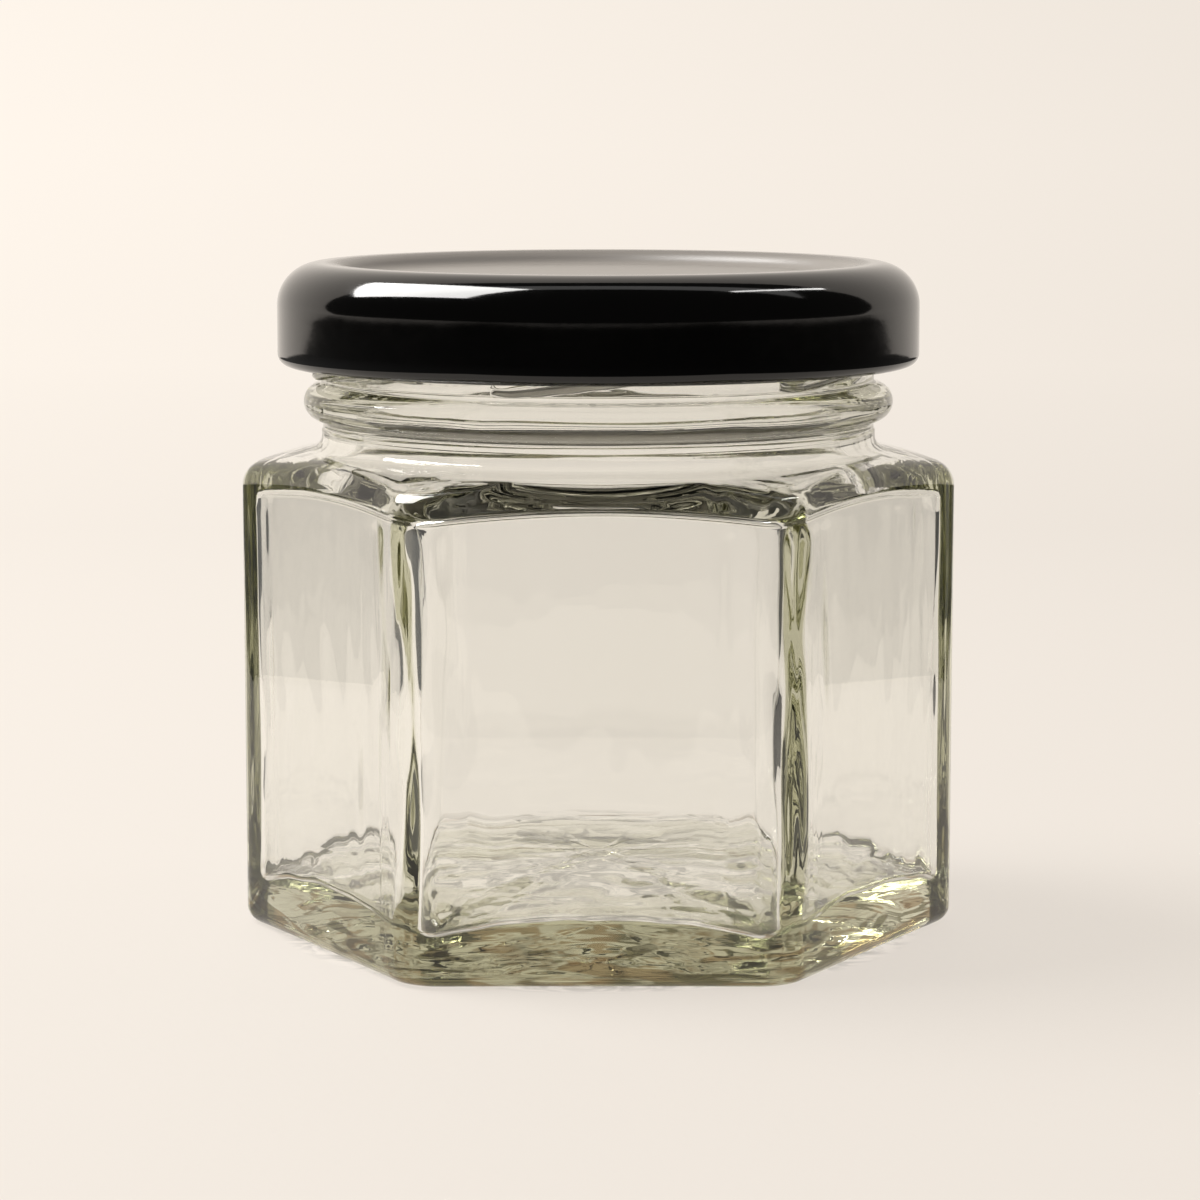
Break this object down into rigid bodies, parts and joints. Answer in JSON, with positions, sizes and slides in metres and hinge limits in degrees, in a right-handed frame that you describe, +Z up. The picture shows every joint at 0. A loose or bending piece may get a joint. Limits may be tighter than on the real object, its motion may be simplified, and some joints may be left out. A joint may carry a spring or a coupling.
{
  "type": "hexagonal glass jar with lid",
  "caption": "Small hexagonal clear glass food jar, empty and closed, with a round threaded neck, a transfer bead and a gloss black twist-off metal lid.",
  "frame": {"origin": "on the surface the jar stands on, under the jar's axis", "axes": "+Z up along the jar's axis; a flat side of the hexagon, the one seen in front, faces -Y; two corners of the hexagon lie on the X axis"},
  "size_m": [0.051, 0.0456, 0.0476],
  "materials": {
    "glass": "clear with a faint olive tint in thick parts, fire polished",
    "lid_lacquer": "gloss black lacquer on tinplate",
    "seal": "smooth grey sealing compound"
  },
  "bodies": {
    "root": {"glass_jar": "glass", "lid": "lid_lacquer", "lid_seal": "seal"}
  },
  "joints": []
}
